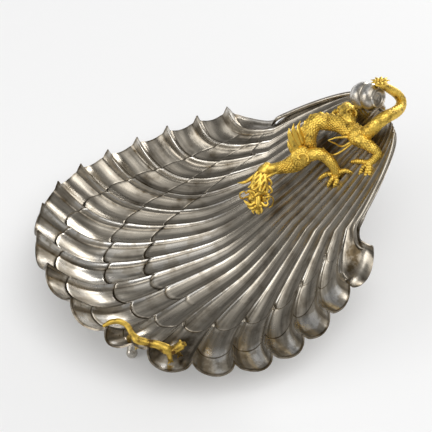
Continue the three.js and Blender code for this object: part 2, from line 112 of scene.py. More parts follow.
def markHollows(piece, gain, spread, base=0.35):  # tarnish where the surface curves inward
    work = bmesh.new()
    work.from_mesh(piece.data)
    work.verts.ensure_lookup_table()
    values = []
    for vertex in work.verts:
        total = 0.0
        for edge in vertex.link_edges:
            away = edge.other_vert(vertex).co - vertex.co
            span = max(away.length, 1e-7)
            total += 2 * away.dot(vertex.normal) / (span * span)
        values.append(total / max(1, len(vertex.link_edges)))
    for _ in range(spread):
        values = [
            0.5 * values[v.index]
            + 0.5 * sum(values[e.other_vert(v).index] for e in v.link_edges) / max(1, len(v.link_edges))
            for v in work.verts
        ]
    work.free()
    setTarnishAndShade(piece, [limit(base + gain * value) for value in values])


def finishPiece(piece, slot, node, angle=50):  # names it after its CAD node
    first, *rest = node.split("_")
    piece.name = piece.data.name = first + "".join(word.title() for word in rest)
    pick(piece)
    bpy.ops.object.shade_smooth_by_angle(angle=radians(angle))
    piece.data.materials.clear()
    piece.data.materials.append(metals[slot])
    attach(piece, "root")
    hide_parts(node)


# shared surface effect: tarnish in the hollows and, on the shell, painted shade, broken up by grain
toneValues = {
    "cloudDetail": 5,
    "cloudRoughness": 0.6,
    "vary": (1.2, 0.4),  # gain and base by which the grain thins and thickens the tarnish
    "patchRange": (0.5, 0.8),  # grain that turns into patches of tarnish
    "patchMost": 0.5,
}


def addNode(tree, kind, inputs, **settings):
    node = tree.nodes.new("ShaderNode" + kind)
    for key, value in settings.items():
        setattr(node, key, value)
    for key, value in inputs.items():
        if isinstance(value, bpy.types.NodeSocket):
            tree.links.new(value, node.inputs[key])
        else:
            node.inputs[key].default_value = value
    return node.outputs


def mapRange(tree, value, ends, low=0.0, high=1.0):
    inputs = {"Value": value, "From Min": ends[0], "From Max": ends[1], "To Min": low, "To Max": high}
    return addNode(tree, "MapRange", inputs)["Result"]


def makeToneGroup():
    group = bpy.data.node_groups.new("agedTone", "ShaderNodeTree")
    for label, value in (("Grain Scale", 90), ("Tarnish And Shade Weight", 1)):
        group.interface.new_socket(label, in_out="INPUT", socket_type="NodeSocketFloat").default_value = value
    for label in ("Shade", "Grain"):
        group.interface.new_socket(label, in_out="OUTPUT", socket_type="NodeSocketFloat")
    given = group.nodes.new("NodeGroupInput").outputs
    result = group.nodes.new("NodeGroupOutput").inputs
    tarnishAndShade = addNode(group, "Attribute", {}, attribute_name="tarnishAndShade")["Fac"]
    cloud = addNode(group, "TexNoise", {
        "Vector": addNode(group, "TexCoord", {})["Object"],
        "Scale": given["Grain Scale"],
        "Detail": toneValues["cloudDetail"],
        "Roughness": toneValues["cloudRoughness"],
    })["Fac"]
    gain, base = toneValues["vary"]
    vary = addNode(group, "Math", {0: cloud, 1: gain, 2: base}, operation="MULTIPLY_ADD")[0]
    weigh = addNode(group, "Math", {0: tarnishAndShade, 1: given["Tarnish And Shade Weight"]}, operation="MULTIPLY")[0]
    patch = mapRange(group, cloud, toneValues["patchRange"], high=toneValues["patchMost"])
    blend = addNode(group, "Math", {0: weigh, 1: vary, 2: patch}, operation="MULTIPLY_ADD", use_clamp=True)[0]
    group.links.new(blend, result["Shade"])
    group.links.new(cloud, result["Grain"])
    return group


toneGroup = makeToneGroup()
wearValues = {
    "grainRange": (0.3, 0.7),  # grain that runs from the low to the high roughness
    "streakDetail": 4,
    "streakRange": (0.35, 0.65),
    "bumpDepth": 0.0004,  # metres
}


def makeMetal(name, values):
    material = bpy.data.materials.new(name)
    material.use_nodes = True
    tree = material.node_tree
    shader = tree.nodes["Principled BSDF"]
    shader.inputs["Metallic"].default_value = 1
    weights = {"Grain Scale": values["grainScale"], "Tarnish And Shade Weight": values["tarnishAndShadeWeight"]}
    tone = addNode(tree, "Group", weights, node_tree=toneGroup)
    colour = addNode(tree, "ValToRGB", {"Fac": tone["Shade"]})
    ramp = tree.nodes[-1].color_ramp.elements
    ramp[0].color = (*values["polished"], 1)
    ramp[1].color = (*values["dark"], 1)
    ramp[1].position = values["darkStart"]
    ramp.new(values["brightEnd"]).color = (*values["bright"], 1)
    uv = addNode(tree, "UVMap", {}, uv_map="UVMap")["UV"]
    stretch = addNode(tree, "Mapping", {"Vector": uv, "Scale": values["streak"]})["Vector"]
    fine = {"Vector": stretch, "Scale": 1, "Detail": wearValues["streakDetail"]}
    streak = addNode(tree, "TexNoise", fine)["Fac"]
    worn = addNode(tree, "Mix", {
        "Factor": values["streakDark"],
        "A": colour["Color"],
        "B": mapRange(tree, streak, wearValues["streakRange"]),
    }, data_type="RGBA", blend_type="MULTIPLY")["Result"]
    rough = mapRange(tree, tone["Grain"], wearValues["grainRange"], values["roughLow"], values["roughHigh"])
    depth = {"Height": streak, "Strength": values["bump"], "Distance": wearValues["bumpDepth"]}
    normal = addNode(tree, "Bump", depth)["Normal"]
    for label, socket in (("Base Color", worn), ("Roughness", rough), ("Normal", normal)):
        tree.links.new(socket, shader.inputs[label])
    return material


silverLook = {
    "polished": (0.93, 0.91, 0.87),
    "bright": (0.53, 0.482, 0.405),
    "dark": (0.095, 0.07, 0.04),
    "brightEnd": 0.14,  # shade at which each colour is reached
    "darkStart": 0.95,
    "grainScale": 60,
    "tarnishAndShadeWeight": 1,
    "roughLow": 0.24,
    "roughHigh": 0.36,
    "streak": (240, 7, 1),
    "streakDark": 0.45,
    "bump": 0.16,
}
giltLook = {
    "polished": (0.95, 0.68, 0.15),
    "bright": (0.9, 0.62, 0.115),
    "dark": (0.13, 0.07, 0.02),
    "brightEnd": 0.3,
    "darkStart": 0.8,
    "grainScale": 160,
    "tarnishAndShadeWeight": 1,
    "roughLow": 0.4,
    "roughHigh": 0.55,
    "streak": (90, 90, 1),
    "streakDark": 0.15,
    "bump": 0.08,
}
metals = {"silver": makeMetal("silver", silverLook), "gilt": makeMetal("gilt", giltLook)}
print("materials made")

# shell: fluted sheet with four growth steps and raised rib bands. Lengths are shares of the rim radius,
# and ribs count from -10 at the near edge over 0 at the front to 10 at the far edge
lastRib, edgeRib = 9, 10
shell = {
    "columnsPerFlute": 22,
    "gather": 0.72,  # how far columns and rows crowd towards ribs and steps
    "sheet": 0.0014,  # metres
    "apex": 1.15,  # where the ribs would meet
    "neckRadius": 0.65,  # from the apex to the start of the bowl
    "wingCorner": (0.817, 0.652, 0.097),
    "fanInner": (4.6, 0.092),  # degrees of a rib at the neck: per rib and per rib squared
    "fanOuter": (8.135, -0.235),  # the same at the rim
    "rimHeights": (0.107, 0.171, 0.188, 0.019),  # waves of the rim's height round the plan
    "keel": (-0.3, 0.39, 0.18, 0.15),  # lowest level, slope, where it turns up and how gently
    "dish": (0.08, 0.7, 0.5),  # cross curve of the floor, its end and its fading towards the neck
    "wallBend": (0.135, -0.009),  # reach of the bend from floor to wall, and gain per rib
    "neckLip": (0.025, 0.06),  # height and reach
    "neckEnd": (1.19, 0.2, 0.56, 0.06),  # x, half width, height and sag
    "neckBend": (1.15, 0.43),
    "neckBendGain": (-0.003, 0.036, 0.0025),  # per rib
    "neckFlutes": (0.0012, 0.009),  # depth at the umbo and at the bowl
    "neckBands": (0.01, 0.14),  # height of the rib bands there, as a share of the full height
    "wingLip": (0.01, 0.975, 0.015),  # height, place and half width
    "wingDrop": (0.026, 9.4),  # of the far wing, and the rib where it begins
    "plainEdge": 9.6,  # rib past which the edge has no bands
}
flute = {
    "sharp": (1.3, 0.6),  # roundness at the neck and at the rim
    "sharpRange": (0.45, 0.95),
    "depth": (0.006, 0.03),  # at the neck, and gain towards the rim
    "flare": (0.064, 0.044),  # further depth at the rim, and the same on the left side
    "wingDepth": 1.1,
    "nearDepth": 0.86,
    "spread": 0.36,
    "wingSpread": 0.5,
    "nearLean": 0.05,
    "leanRibs": (3.9, 1.6),  # rib where the lean changes side, and reach
    "bandHalf": 0.125,  # share of a flute
    "bandFade": 0.3,  # shares of that half width
    "groovePlace": 1.15,
    "bandHeight": 0.011,
    "bandGrow": (0.12, 0.88),
    "leftBands": 1.4,
    "grooveDepth": 0.005,
}
lobes = {"first": -2, "split": 0.6, "small": 0.16, "large": 1.15, "lean": 0.85, "sharp": 0.6}
tiers = {
    "rows": [(-1, 16), (0, 16), (1, 16), (2, 18), (3, 24)],  # tier -1 is the neck
    "reaches": [(0.67, 0, 0.9), (0.42, 0, 0.75), (0.13, 0.012, 0.5)],  # from the rim, gain, most of the room
    "bulge": 0.05,
    "bulgeRoom": 0.4,
    "fades": [(-3, 0), (-5, 0), (-3, 1)],  # ribs between which each step rises
    "leastStep": 0.04,
    "stepRoom": (0.25, 0.75),
    "stepEnds": (9.2, 8.2),
    "step": (0.008, 0.005, 0.016, 0.012),  # height, drop below, rounding and foot
    "pillow": (0.22, 0.3),  # how far a tile fills its flute, and from where
    "crackWidth": 0.004,
    "crackNear": (-4, -1),
    "crackRoom": (0.25, 0.6),
    "crackEnds": (9.2, 8.4),
    "knot": (0.009, 0.012, 0.17),  # height, reach and half width
    "knotNear": (-2, -3.5),
    "knotEnd": (-9, -8.5),
    "knotShade": (0.9, 0.014, 0.006, 0.15),  # tarnish, place, reach and half width
}
tones = {  # tarnish and painted shade from 0 to 1, and where it lies in ribs or in shares of the way to the rim
    "neck": 0.3,
    # left, near, far and the middle far tiers: part tarnish, part painted shade for how each side is lit
    "left": 0.1,
    "near": 0.34,
    "far": 0.3,
    "farTiers": 0.13,  # more on the middle tiers
    "toNear": (0.5, -4),
    "toFar": (1.5, 5),
    # painted light: the near lobes are lightened towards the rim
    "lobePaintedLight": 0.95,
    "lobeRange": (0.8, 0.93),
    "bandPolish": 0.75,
    "edge": 0.75,
    "edgeRange": (0.992, 0.999),
    # darker inner floor: part tarnish, part painted shade
    "inner": 0.36,
    "innerRange": (0.55, 0.35),
    "lizard": 0.9,  # painted shadow in the two lobes beside the lizard
    "wing": 0.75,
    "wingRange": (9, 9.4),
    "lipPolish": 0.8,
    "groove": 0.8,
    # darkest painted shadow under the dragon
    "spot": 0.95,
    "spots": [(0.885, 0.1, 0.095)],  # painted shadow under the dragon: x, y, reach
}
apex, neckRadius = shell["apex"], shell["neckRadius"]
wingCorner = Vector(shell["wingCorner"])


def ribAngle(fan, k):
    return radians(fan[0] * k + fan[1] * k * k)


def floorHeight(x, y):
    low, slope, turn, bend = shell["keel"]
    dish, end, fade = shell["dish"]
    run = x - turn
    return low + slope * (run + hypot(run, bend)) + dish * y * y * limit((end - x) / fade)


def rimPoint(k):
    if k > lastRib:
        return rimPoint(lastRib).lerp(wingCorner, k - lastRib)
    turn = ribAngle(shell["fanOuter"], k)
    reach = apex * cos(turn) + sqrt(1 - (apex * sin(turn)) ** 2)
    x, y = apex - reach * cos(turn), reach * sin(turn)
    a = atan2(y, x)
    z = sum(level * cos(i * a) for i, level in enumerate(shell["rimHeights"]))
    return Vector((x, y, z))


def bowlPoint(k, radius):
    rim = rimPoint(k)
    rimReach = hypot(apex - rim.x, rim.y)
    flare = ((radius - neckRadius) / (rimReach - neckRadius)) ** 3
    turn = mix(ribAngle(shell["fanInner"], k), atan2(rim.y, apex - rim.x), flare)
    x, y = apex - radius * cos(turn), radius * sin(turn)
    rise = rim.z - floorHeight(rim.x, rim.y)
    bend = shell["wallBend"][0] + shell["wallBend"][1] * k
    turnUp = 2 * rise / (1 + exp((rimReach - radius) / bend))
    height, reach = shell["neckLip"]
    lip = height * (k / edgeRib) ** 6 * exp((neckRadius - radius) / reach)
    return Vector((x, y, floorHeight(x, y) + turnUp + lip)), radius / rimReach


def neckPoint(k, along):
    side = k / edgeRib
    endX, endY, endZ, sag = shell["neckEnd"]
    bendX, bendZ = shell["neckBend"]
    gainX, gainY, gainZ = shell["neckBendGain"]
    end = Vector((endX, endY * side, endZ - sag * side * side))
    bend = Vector((bendX + gainX * k, gainY * k, bendZ + gainZ * k))
    start = bowlPoint(k, neckRadius)[0]
    return end * (1 - along) ** 2 + bend * 2 * along * (1 - along) + start * along * along


def fluteWave(k, sharp=0.6):
    return abs(sin(pi * k)) ** sharp


def lobeWave(rib, sharp):
    across = lobes["first"] - rib  # two lobes of the near side hang to one side
    split = lobes["split"]
    if 0 < across < split:
        return sin(pi * across / split) ** lobes["sharp"]
    if split <= across < 1:
        return lobes["small"] * sin(pi * (across - split) / (1 - split))
    if 1 <= across < 2:
        swing = sin(pi * (across - 1) ** lobes["lean"])
        return lobes["large"] * swing ** lobes["sharp"]
    return fluteWave(rib, sharp)


def tierSpan(k, tier):
    rim = rimPoint(k)
    rimReach = hypot(apex - rim.x, rim.y)
    room = rimReach - neckRadius
    bulge = tiers["bulge"] * fluteWave(k) * min(1, room / tiers["bulgeRoom"])
    ends = [neckRadius]
    for reach, gain, most in tiers["reaches"]:
        ends.append(rimReach - min(reach + gain * k, most * room) + bulge)
    ends.append(rimReach)
    return ends[tier], ends[tier + 1], room


def stepScale(rib, room, tier):
    rise = mix(tiers["leastStep"], 1, ease(*tiers["fades"][tier], rib))
    return rise * ease(*tiers["stepRoom"], room) * ease(*tiers["stepEnds"], abs(rib))


def crackScale(rib, room, tier):
    nearSide = ease(*tiers["crackNear"], rib) if tier == 0 else 1
    return nearSide * ease(*tiers["crackRoom"], room) * ease(*tiers["crackEnds"], abs(rib))


def hangFlute(place, rib, share):  # leans the flute out at the rim and tells its depth
    k = abs(rib)
    near = rib < 0 and k < lastRib
    sharp = mix(*flute["sharp"], ease(*flute["sharpRange"], share))
    wave = mix(fluteWave(k, sharp), lobeWave(rib, sharp), share**4)
    flare = mix(*flute["flare"], ease(0, 1, rib) * ease(6, 4, rib))
    deep = flute["depth"][0] + flute["depth"][1] * share**2 + flare * share**12
    depth = wave * deep * (flute["wingDepth"] if k > lastRib else flute["nearDepth"] if near else 1)
    spread = depth * flute["wingSpread" if k > lastRib else "spread"] * share**12
    leanRib, leanReach = flute["leanRibs"]
    aside = limit((k - leanRib) / leanReach, -1, 1)
    lean = flute["nearLean"] * wave * share**12 * aside if near else 0
    outward = atan2(place.y, place.x)
    place.x += spread * cos(outward) + lean * sin(outward)
    place.y += spread * sin(outward) - lean * cos(outward)
    return depth


def fluteShade(rib, tier, share, band):
    k = abs(rib)
    far = tones["far"] + (tones["farTiers"] if tier in (1, 2) else 0)
    # tone by side of the bowl: part tarnish, part painted shade
    tone = mix(tones["left"], tones["near"], ease(*tones["toNear"], rib))
    tone = mix(tone, far, ease(*tones["toFar"], rib))
    # painted light on the near lobes towards the rim
    tone *= 1 - tones["lobePaintedLight"] * ease(*tones["lobeRange"], share) * ease(0, -1.5, rib)
    shades = [
        tone * (1 - tones["bandPolish"] * band),
        tones["edge"] * ease(*tones["edgeRange"], share),
        tones["inner"] * ease(*tones["innerRange"], share),
        tones["wing"] * ease(*tones["wingRange"], k),
    ]
    if -4 < rib < -3:  # painted shadow in the lobe under the lizard's head
        lobeShadow = tones["lizard"] * fluteWave(k, 0.5)
        shades.append(lobeShadow * ease(0.79, 0.87, share) * ease(0.985, 0.93, share))
    if -2.6 < rib < -2.1:  # painted shadow in the lobe under its tail
        lobeShadow = tones["lizard"] * ease(-2.1, -2.4, rib)
        shades.append(lobeShadow * ease(0.83, 0.91, share) * ease(0.99, 0.95, share))
    return max(shades)


def shellPoint(rib, tier, t):
    k = abs(rib)
    offRib = abs(rib - round(rib))
    half = flute["bandHalf"]
    fade = half * flute["bandFade"]
    band = ease(half, fade, offRib)
    groove = bell(offRib - half * flute["groovePlace"], fade) * mix(0.4, 1, ease(-2, 1, rib))
    if k > shell["plainEdge"]:
        band = groove = 0
    if tier < 0:
        place = neckPoint(k, t)
        place.z -= fluteWave(k, 0.8) * mix(*shell["neckFlutes"], t * t)
        size = mix(*shell["neckBands"], t**3)
        shade = tones["neck"]
    else:
        first, last, room = tierSpan(k, tier)
        place, share = bowlPoint(k, mix(first, last, t))
        depth = hangFlute(place, rib, share)
        toEnd, fromStart = (1 - t) * (last - first), t * (last - first)
        rise, drop, rounding, foot = tiers["step"]
        shade = fluteShade(rib, tier, share, band)
        if tier < 3:
            scale = stepScale(rib, room, tier)
            fill, start = tiers["pillow"]
            depth *= 1 - fill * scale * ease(start, 1, t)
            fall = limit(1 - toEnd / rounding)
            place.z += scale * (rise * t * t - (rise + drop) * (1 - sqrt(1 - fall * fall)))
            shade = max(shade, crackScale(rib, room, tier) * bell(toEnd, tiers["crackWidth"]))
        if tier in (1, 2):
            toKnot = toEnd if tier == 1 else fromStart
            near = ease(*tiers["knotNear"], rib)
            height, reach, wide = tiers["knot"]
            knot = exp(-((toKnot / reach) ** 2) - (offRib / wide) ** 2)
            place.z += height * (knot * near * ease(*tiers["knotEnd"], rib))
            tone, beside, reach, wide = tiers["knotShade"]
            dark = exp(-(((toKnot - beside) / reach) ** 2) - (offRib / wide) ** 2)
            shade = max(shade, tone * dark * near)
        if tier > 0:
            place.z -= stepScale(rib, room, tier - 1) * drop * limit(1 - fromStart / foot) ** 2
            shade = max(shade, crackScale(rib, room, tier - 1) * bell(fromStart, tiers["crackWidth"]))
        place.z -= depth
        least, grow = flute["bandGrow"]
        size = (least + grow * share**3) * mix(1, flute["leftBands"], ease(-1.5, 0.5, rib))
        if k > lastRib:
            height, spot, wide = shell["wingLip"]
            lip = bell(share - spot, wide) * ease(9, 9.15, k)
            place.z += height * lip
            shade *= 1 - tones["lipPolish"] * lip
        fall, start = shell["wingDrop"]
        if rib > start:
            place.z -= fall * ease(start, edgeRib, rib) * share**4
    place.z += size * (flute["bandHeight"] * band - flute["grooveDepth"] * groove)
    if rib < 0:
        place.y = -place.y
    # painted shadow under the dragon
    for x, y, wide in tones["spots"]:
        away = hypot(place.x - x, place.y - y) / wide
        shade = max(shade, tones["spot"] * exp(-(away**4)))
    return place, max(shade, tones["groove"] * groove * ease(0, 0.5, size))


def crowd(s):
    return shell["gather"] * sin(2 * pi * s) / (2 * pi)


def buildShell():
    rows = []
    for tier, count in tiers["rows"]:
        for i in range(count):
            s = i / count
            rows.append((tier, s if tier < 0 else limit(s - crowd(s))))
    rows.append((3, 1.0))
    flutes = 2 * edgeRib
    piece = startGrid(shell["columnsPerFlute"] * flutes, len(rows) - 1)
    marks = []
    for vertex in piece.data.vertices:
        across = (vertex.co.x + 0.5) * flutes
        part = across - across // 1
        rib = across // 1 + part - crowd(part) - edgeRib
        tier, t = rows[round((vertex.co.y + 0.5) * (len(rows) - 1))]
        spot, mark = shellPoint(limit(rib, -edgeRib, edgeRib), tier, t)
        vertex.co = inFrame(*spot)
        marks.append(mark)
    setTarnishAndShade(piece, marks)
    editMesh(piece, bpy.ops.mesh.normals_make_consistent)
    if sum(face.normal.z * face.area for face in piece.data.polygons) < 0:
        editMesh(piece, bpy.ops.mesh.flip_normals)
    useModifier(piece, "SOLIDIFY", thickness=shell["sheet"], offset=-1)
    finishPiece(piece, "silver", "shell_dish", angle=85)


buildShell()
print("shell built")

# round bars that follow a smooth line; stops are [x, y, z, radius] in shares of the rim radius,
# and their tables are in thousandths of it
capRings, capLength = 4, 0.8  # rounded ends, length in radii


def thousandths(values):
    if isinstance(values, dict):
        return {key: thousandths(value) for key, value in values.items()}
    return [thousandths(value) for value in values] if isinstance(values, list) else values / 1000


def linePoint(p, q, r, s, t):
    a = max(1e-6, (q - p).length) ** 0.5
    b = max(1e-6, (r - q).length) ** 0.5
    c = max(1e-6, (s - r).length) ** 0.5
    startPull = ((q - p) / a - (r - p) / (a + b) + (r - q) / b) * b
    endPull = ((r - q) / b - (s - q) / (b + c) + (s - r) / c) * b
    return (
        q * (2 * t**3 - 3 * t**2 + 1)
        + startPull * (t**3 - 2 * t**2 + t)
        + r * (3 * t**2 - 2 * t**3)
        + endPull * (t**3 - t**2)
    )


def centreLine(stops, facing=(0, 0, 1), perSpan=16):
    points = [Vector(stop[:3]) for stop in stops]
    points = [points[0] * 2 - points[1]] + points + [points[-1] * 2 - points[-2]]
    places, radii = [], []
    for i in range(len(stops) - 1):
        for j in range(perSpan):
            places.append(linePoint(*points[i:i + 4], j / perSpan))
            radii.append(mix(stops[i][3], stops[i + 1][3], ease(0, 1, j / perSpan)))
    places.append(points[-2])
    radii.append(stops[-1][3])
    line, run, up = [], 0.0, Vector(facing)
    for i, place in enumerate(places):
        ahead = (places[min(i + 1, len(places) - 1)] - places[max(i - 1, 0)]).normalized()
        up = (up - ahead * up.dot(ahead)).normalized()
        if i:
            run += (place - places[i - 1]).length
        line.append((run, place, ahead, up, radii[i]))
    return line


def sampleLine(line, run):
    i = 0
    while i < len(line) - 2 and line[i + 1][0] < run:
        i += 1
    a, b = line[i], line[i + 1]
    t = limit((run - a[0]) / max(1e-9, b[0] - a[0]))
    ahead = a[2].lerp(b[2], t).normalized()
    up = a[3].lerp(b[3], t)
    up = (up - ahead * up.dot(ahead)).normalized()
    return a[1].lerp(b[1], t), ahead, up, ahead.cross(up), mix(a[4], b[4], t)


def barPiece(stops, sides, rings, relief=None, flatten=1, facing=(0, 0, 1), begin=0, end=1):
    line = centreLine(stops, facing)
    total = line[-1][0]
    piece = startGrid(sides, rings)
    frames = []
    for ring in range(rings + 1):
        turn = limit(min(ring, rings - ring) / capRings) * pi / 2
        share = limit((ring - capRings) / (rings - 2 * capRings))
        run = total * mix(begin, end, share)
        slide = cos(turn) * (-1 if ring < capRings else 1)
        frames.append((*sampleLine(line, run), run, sin(turn), slide))
    for vertex in piece.data.vertices:
        centre, ahead, up, side, radius, run, swell, slide = frames[round((vertex.co.y + 0.5) * rings)]
        around = 2 * pi * (round((vertex.co.x + 0.5) * sides) % sides) / sides
        lift = relief(around, run, radius) * swell if relief else 0
        spoke = up * cos(around) * flatten + side * sin(around)
        vertex.co = inFrame(*(centre + ahead * slide * radius * capLength + spoke * (radius * swell + lift)))
    sealMesh(piece)
    return piece


def ballPiece(centre, axis, radius, thick, sides, rings, relief=None):
    axis = Vector(axis).normalized()
    across = axis.orthogonal().normalized()
    over = axis.cross(across)
    piece = startGrid(sides, rings)
    for vertex in piece.data.vertices:
        polar = pi * (vertex.co.y + 0.5)
        around = 2 * pi * (round((vertex.co.x + 0.5) * sides) % sides) / sides
        lift = relief(around, polar, radius) if relief else 0
        out = across * cos(around) + over * sin(around)
        wide = (radius + lift) * sin(polar)
        vertex.co = inFrame(*(Vector(centre) + out * wide + axis * (thick + lift) * cos(polar)))
    sealMesh(piece)
    return piece


def withRadii(spots, radii):
    return [[*spot, radius] for spot, radius in zip(spots, radii)]


def scaleHeight(x, y):  # overlapping round scales, one to a unit
    best = 0.0
    for row in (y // 1 - 1, y // 1):
        shifted = x - 0.5 * (row % 2)
        dx = shifted - shifted // 1 - 0.5
        dy = y - row
        if dy < 1.05 + 0.85 * sqrt(max(0, 1 - 4 * dx * dx)):
            best = max(best, (0.2 + 0.8 * dy / 1.9) * (1 - 1.8 * dx * dx))
    return best


def scaledRelief(count, pitch, height):
    def relief(around, run, radius):
        return height * (scaleHeight(around / (2 * pi) * count, run / pitch) - 0.5)
    return relief


# dragon trunk and tail share one line from the nape to the tail tip
spineStops = thousandths([
    [479, 130, 193, 30], [561, 100, 196, 36], [657, 50, 256, 56], [727, 60, 330, 56],
    [748, 95, 408, 53], [817, 130, 455, 52], [886, 110, 446, 51], [941, 50, 455, 50],
    [983, -40, 456, 54], [1017, -98, 470, 47], [1050, -138, 536, 41], [1085, -156, 594, 39],
    [1134, -155, 617, 38], [1205, -125, 598, 36], [1277, -75, 576, 33], [1308, -35, 585, 30],
    [1288, -20, 628, 28], [1234, -20, 687, 26], [1172, -20, 743, 21],
])
trunk = {
    "tailStart": 0.552,  # share of the line where the tail begins
    "tailGap": 0.002,
    "scales": (17, 0.016, 0.008),  # count around, pitch and height
    "bellyRange": (-0.7, -0.86),
    "platePitch": 0.022,
    "plateHeight": 0.004,
    "plateMiddle": 0.6,
    "spineHeight": 0.01,
    "spinePitch": 0.034,
    "spineHalf": 0.16,
    "spineStart": (0.1, 0.25),
    "napeFade": (0.02, 0.12),
    "tailScales": (11, 0.017, 0.0048),
    "tipFade": (1.25, 1.55),
    "tipLoss": 0.6,
    "leafGroove": (0.25, 0.3),  # depth in radii, and half width
    "leafFlatten": 0.45,
}
towardsViewer = (-0.285, -0.638, 0.716)
shoulderLeaves = thousandths([
    [[660, 43, 285, 18], [640, 23, 372, 21], [616, 53, 440, 20], [607, 73, 484, 13], [612, 93, 512, 3]],
    [[690, 55, 320, 18], [664, 38, 380, 22], [648, 68, 450, 21], [640, 88, 490, 14], [650, 108, 522, 3]],
    [[725, 75, 365, 18], [698, 54, 405, 21], [682, 84, 466, 19], [682, 104, 488, 13], [704, 124, 512, 3]],
    [[655, 38, 262, 18], [645, 16, 320, 20], [616, 34, 368, 18], [599, 54, 402, 11], [598, 74, 430, 3]],
])


def leafRelief(around, run, radius):
    depth, half = trunk["leafGroove"]
    return -depth * radius * bell(sin(around), half)


def trunkRelief(around, run, radius):
    lift = scaledRelief(*trunk["scales"])(around, run, radius)
    belly = ease(*trunk["bellyRange"], cos(around))
    plate = (run / trunk["platePitch"]) % 1.0
    lift = mix(lift, trunk["plateHeight"] * (plate - trunk["plateMiddle"]), belly)
    ridge = bell(min(around, 2 * pi - around), trunk["spineHalf"])
    tooth = 1 - abs(2 * ((run / trunk["spinePitch"]) % 1) - 1)
    lift += trunk["spineHeight"] * ridge * tooth * ease(*trunk["spineStart"], run)
    return lift * ease(*trunk["napeFade"], run)


def buildTrunk():
    parts = [barPiece(spineStops, 119, 420, trunkRelief, end=trunk["tailStart"])]
    for stops in shoulderLeaves:
        parts.append(barPiece(stops, 16, 36, leafRelief, trunk["leafFlatten"], towardsViewer))
    piece = joinPieces(parts)
    markHollows(piece, 0.00022, 2)
    finishPiece(piece, "gilt", "dragon_trunk")


def tailRelief(around, run, radius):
    scales = scaledRelief(*trunk["tailScales"])(around, run, radius)
    return scales * (1 - trunk["tipLoss"] * ease(*trunk["tipFade"], run))


def buildTail():
    begin = trunk["tailStart"] + trunk["tailGap"]
    piece = barPiece(spineStops, 78, 330, tailRelief, begin=begin)
    markHollows(piece, 0.00022, 2)
    finishPiece(piece, "gilt", "dragon_tail")


buildTrunk()
buildTail()
print("dragon body built")

# tail tuft: flat star of pointed leaves round a beaded middle
tuft = {
    "place": (1.151, -0.02, 0.779),
    "axis": (0, 0.26, 0.966),
    "leaves": 9,
    "leafStops": [(0.012, 0, 0.008), (0.032, 0.006, 0.0125), (0.056, 0.008, 0.004)],  # out, up, radius
    "core": (-0.012, 0.034, 0.016),  # height, radius and half thickness
    "beads": 5,
    "bead": (0.016, 0.01, 0.008),  # out, up, radius
    "voxel": 0.0003,  # metres
}


def buildTuft():
    centre, axis, across = Vector(tuft["place"]), Vector(tuft["axis"]), Vector((1, 0, 0))
    over = axis.cross(across)

    def spokes(count, shift):
        for i in range(count):
            a = 2 * pi * (i + shift) / count
            yield across * cos(a) + over * sin(a)

    height, radius, thick = tuft["core"]
    parts = [ballPiece(centre + axis * height, axis, radius, thick, 24, 16)]
    for out in spokes(tuft["leaves"], 0.3):
        stops = [[*(centre + out * far + axis * up), thick] for far, up, thick in tuft["leafStops"]]
        parts.append(barPiece(stops, 12, 18, flatten=0.6, facing=tuple(axis)))
    far, up, radius = tuft["bead"]
    for out in spokes(tuft["beads"], 0.5):
        parts.append(ballPiece(centre + out * far + axis * up, axis, radius, radius, 10, 8))
    piece = joinPieces(parts)
    useModifier(piece, "REMESH", mode="VOXEL", voxel_size=tuft["voxel"])
    useModifier(piece, "SMOOTH", factor=0.5, iterations=1)
    markHollows(piece, 0.0002, 3)
    finishPiece(piece, "gilt", "dragon_tail_tuft")


buildTuft()
print("tail tuft built")

# dragon head, with its own axes: muzzle direction, forehead direction and side
headAxis = Vector((-0.515, -0.442, -0.738))
headUp = Vector((-0.338, -0.685, 0.646))
headSide = headAxis.cross(headUp)  # to the left of the photograph
headStrands = thousandths({  # stops of the ears, mane, brows, lips and beard
    "ear": [[402, 126, 167, 12], [368, 118, 157, 13], [331, 119, 147, 10], [296, 133, 143, 3]],
    "maneA": [[446, 87, 149, 12], [472, 71, 162, 11], [485, 48, 143, 8], [472, 40, 121, 3]],
    "maneB": [[448, 60, 121, 12], [465, 39, 124, 11], [475, 17, 106, 8], [458, 16, 88, 3]],
    "maneC": [[432, 41, 93, 12], [447, 14, 85, 10], [447, -1, 64, 7], [427, -1, 46, 3]],
    "browRight": [[369, 31, 96, 9], [390, 24, 114, 13], [422, 20, 116, 11], [443, 13, 100, 4]],
    "browLeft": [[331, 80, 89, 5], [347, 70, 108, 11], [363, 50, 108, 12], [369, 34, 98, 8]],
    "bridge": [[385, 43, 101, 14], [381, 14, 77, 15], [370, -6, 47, 16], [366, -10, 26, 12]],
    "lipLeft": [[365, 20, 51, 12], [330, 17, 42, 13], [313, 39, 51, 10], [303, 57, 58, 3]],
    "lipLow": [[358, 4, 30, 11], [331, 4, 23, 10], [317, 25, 32, 6], [317, 34, 41, 3]],
    "lipRight": [[398, 2, 46, 11], [415, -21, 34, 10], [434, -16, 43, 6], [434, -3, 53, 3]],
    "beardA": [[358, 2, 19, 12], [338, -4, 6, 10], [339, -17, -8, 3]],
    "beardB": [[371, -7, 17, 12], [359, -18, 1, 10], [369, -34, -10, 3]],
    "beardC": [[386, -10, 18, 11], [389, -26, 5, 8], [380, -32, -8, 3]],
})
headBalls = thousandths({  # centre and radius
    "eyeLeft": [[355, 38, 83], 9], "eyeRight": [[414, 9, 82], 8.5],
    "nostrilLeft": [[351, -8, 45], 10], "nostrilRight": [[382, -21, 47], 10],
    "cheekLeft": [[358, 56, 57], 30], "cheekRight": [[424, 21, 53], 20],
})
mane = {
    "count": 8,
    "spread": 0.055,
    "lift": 0.046,
    "thick": 0.014,
    "wave": 0.009,
    "waveTurn": (5.5, 1.9),  # along a strand, and from one strand to the next
    "crown": 0.078,  # half width of the skull under the mane
    "stops": 6,
}
nape, brow = Vector((0.46, 0.122, 0.172)), Vector((0.396, 0.064, 0.108))


